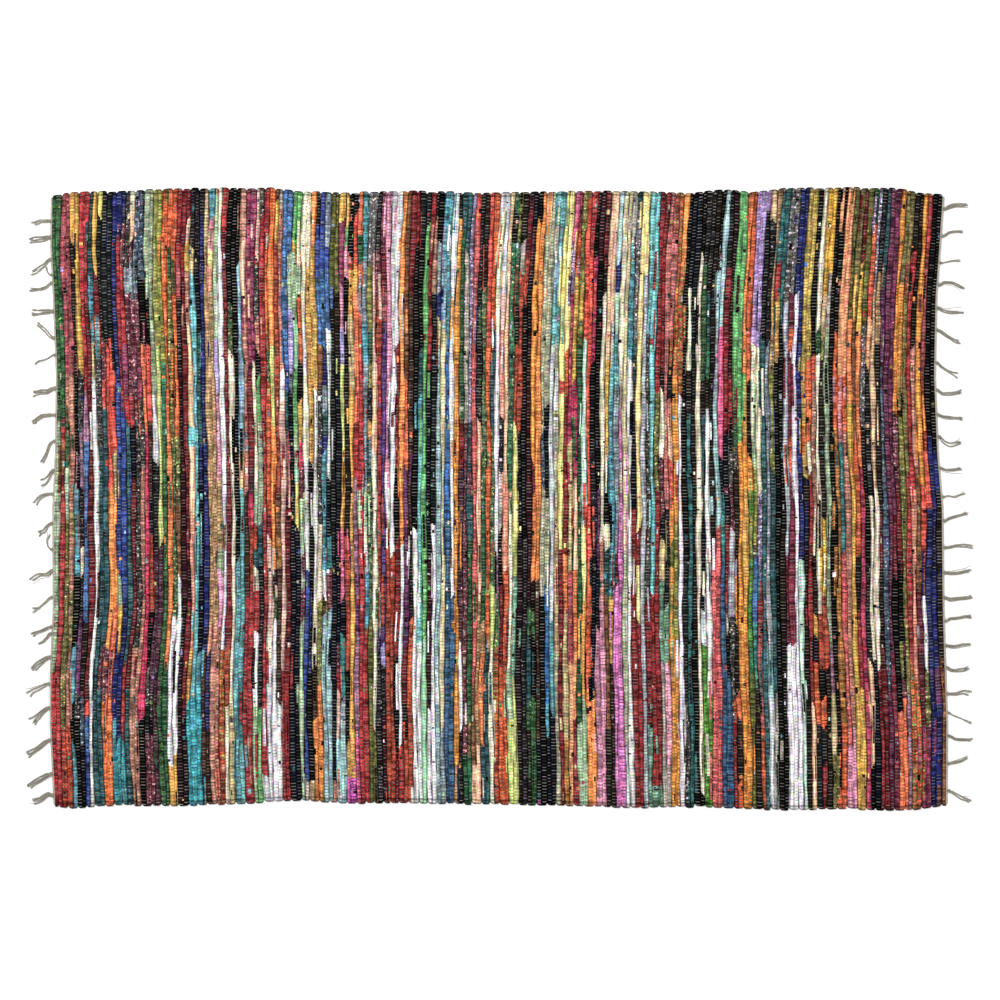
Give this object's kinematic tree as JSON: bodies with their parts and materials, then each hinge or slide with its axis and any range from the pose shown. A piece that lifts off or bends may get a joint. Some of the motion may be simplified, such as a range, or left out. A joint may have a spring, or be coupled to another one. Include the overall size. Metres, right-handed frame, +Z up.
{
  "type": "rag rug",
  "caption": "Flat rectangular rag-woven cotton rug with raised crosswise ribs in many coloured stripes, scalloped long edges and a knotted yarn fringe at both short ends.",
  "frame": {"origin": "on the underside, in the middle of the rug's mean outline", "axes": "+X along the rug from the left fringe to the right one, +Y across it, +Z up out of the face that is seen"},
  "size_m": [1.8523, 1.2172, 0.007],
  "materials": {
    "rag_cotton": "matt woven cotton rag strips in many dark and muted colours with a few bright ones",
    "warp_cotton": "matt unbleached cotton yarn"
  },
  "bodies": {
    "root": {"rag_weave": "rag_cotton", "fringe_left": "warp_cotton", "fringe_right": "warp_cotton"}
  },
  "joints": []
}
